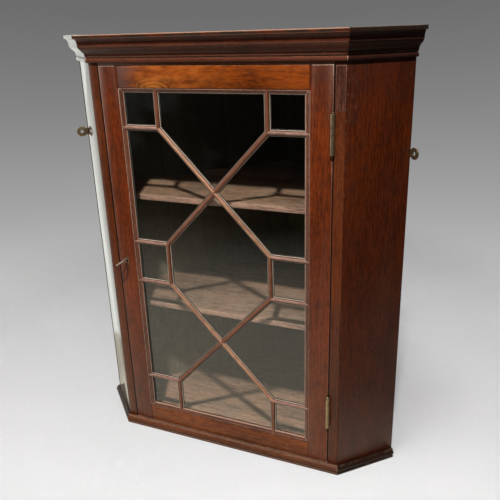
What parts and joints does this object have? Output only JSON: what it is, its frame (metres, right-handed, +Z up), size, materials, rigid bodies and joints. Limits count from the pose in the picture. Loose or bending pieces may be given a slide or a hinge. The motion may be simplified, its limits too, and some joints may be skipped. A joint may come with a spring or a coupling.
{
  "type": "corner cupboard",
  "caption": "Hanging corner cupboard with slanted sides, a moulded cornice and base, shelves, and a lockable astragal-glazed door.",
  "frame": {"origin": "middle of the plan's bounding box, on the underside of the base", "axes": "+X to the right seen from the front, +Y to the back, into the corner of the room, +Z up"},
  "size_m": [0.799, 0.523, 0.9517],
  "materials": {
    "mahogany": "French polished, worn at the edges",
    "mahogany_side": "French polished, darker, with fine grain",
    "pine": "plain old softwood, dusty",
    "painted_pine": "dull dark grey-green paint inside",
    "glass": "thin, clear, slightly uneven",
    "brass": "aged, dull",
    "steel": "dark, worn bright on the edges"
  },
  "bodies": {
    "case": {"cornice_front": "mahogany", "base_moulding_front": "mahogany", "base_moulding_left": "mahogany", "base_moulding_right": "mahogany", "post_left": "mahogany", "post_right": "mahogany", "return_left": "mahogany_side", "cornice_left": "mahogany_side", "back_board_left": "painted_pine", "hanging_plate_left": "brass", "return_right": "mahogany_side", "cornice_right": "mahogany_side", "back_board_right": "painted_pine", "hanging_plate_right": "brass", "top_board": "pine", "bottom_board": "pine", "shelf_upper": "pine", "shelf_lower": "pine", "hinge_upper_case_leaf": "brass", "hinge_lower_case_leaf": "brass"},
    "door": {"door_stile_left": "mahogany", "door_stile_right": "mahogany", "door_rail_top": "mahogany", "door_rail_bottom": "mahogany", "bar_level_left_1": "mahogany", "bar_level_left_2": "mahogany", "bar_level_left_3": "mahogany", "bar_level_left_4": "mahogany", "bar_upright_left_1": "mahogany", "bar_upright_left_2": "mahogany", "bar_upright_left_3": "mahogany", "bar_slant_upper_left": "mahogany", "bar_slant_lower_left": "mahogany", "pane_left_1": "glass", "pane_left_2": "glass", "pane_left_3": "glass", "pane_left_4": "glass", "pane_left_5": "glass", "bar_level_right_1": "mahogany", "bar_level_right_2": "mahogany", "bar_level_right_3": "mahogany", "bar_level_right_4": "mahogany", "bar_upright_right_1": "mahogany", "bar_upright_right_2": "mahogany", "bar_upright_right_3": "mahogany", "bar_slant_upper_right": "mahogany", "bar_slant_lower_right": "mahogany", "pane_right_1": "glass", "pane_right_2": "glass", "pane_right_3": "glass", "pane_right_4": "glass", "pane_right_5": "glass", "pane_centre_top": "glass", "pane_centre_middle": "glass", "pane_centre_foot": "glass", "hinge_upper_door_leaf": "brass", "hinge_lower_door_leaf": "brass", "lock_case": "brass"},
    "key": {"key": "steel"},
    "bolt": {"lock_bolt": "brass"}
  },
  "joints": [
    {"name": "door_swing", "type": "hinge", "parent": "case", "child": "door", "pos_m": [0.2533, -0.22629, 0.4585], "axis": [0, 0, 1], "range_deg": [0, 170]},
    {"name": "key_turn", "type": "hinge", "parent": "door", "child": "key", "pos_m": [-0.232, -0.22149, 0.4615], "axis": [0, -1, 0], "range_deg": [0, 180]},
    {"name": "bolt_slide", "type": "slide", "parent": "door", "child": "bolt", "axis": [-1, 0, 0], "range_m": [0, 0.008]}
  ],
  "couplings": [
    {"joint": "bolt_slide", "follows": "key_turn", "m_per_rad": 0.002546}
  ]
}
